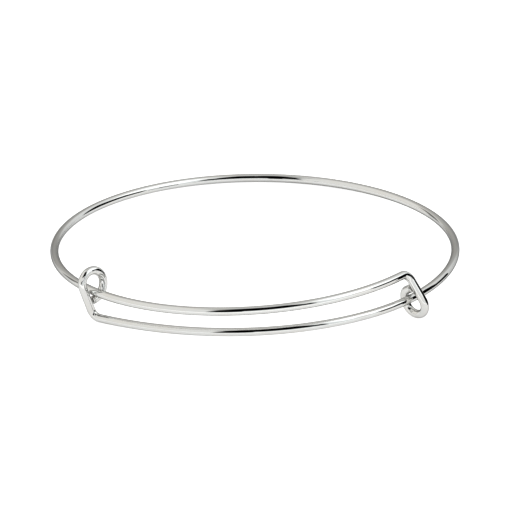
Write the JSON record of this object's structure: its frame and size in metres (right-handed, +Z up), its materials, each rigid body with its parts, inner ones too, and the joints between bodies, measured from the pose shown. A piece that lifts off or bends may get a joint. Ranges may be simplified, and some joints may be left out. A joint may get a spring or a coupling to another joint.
{
  "type": "adjustable charm bangle",
  "caption": "Round wire bangle that widens: the ends overlap across the front and each is hooked round the other side, with an open eye at each hook for a charm.",
  "frame": {"origin": "on the table, under the middle of the bangle's outline, where it lies on its side", "axes": "+X to the hook on the upper strand, -Y to the front where the two strands overlap, +Z up from the table"},
  "size_m": [0.064, 0.0636, 0.0083],
  "materials": {
    "plated_wire": "bright polished silver-tone plating"
  },
  "bodies": {
    "root": {"bangle_wire": "plated_wire"}
  },
  "joints": []
}
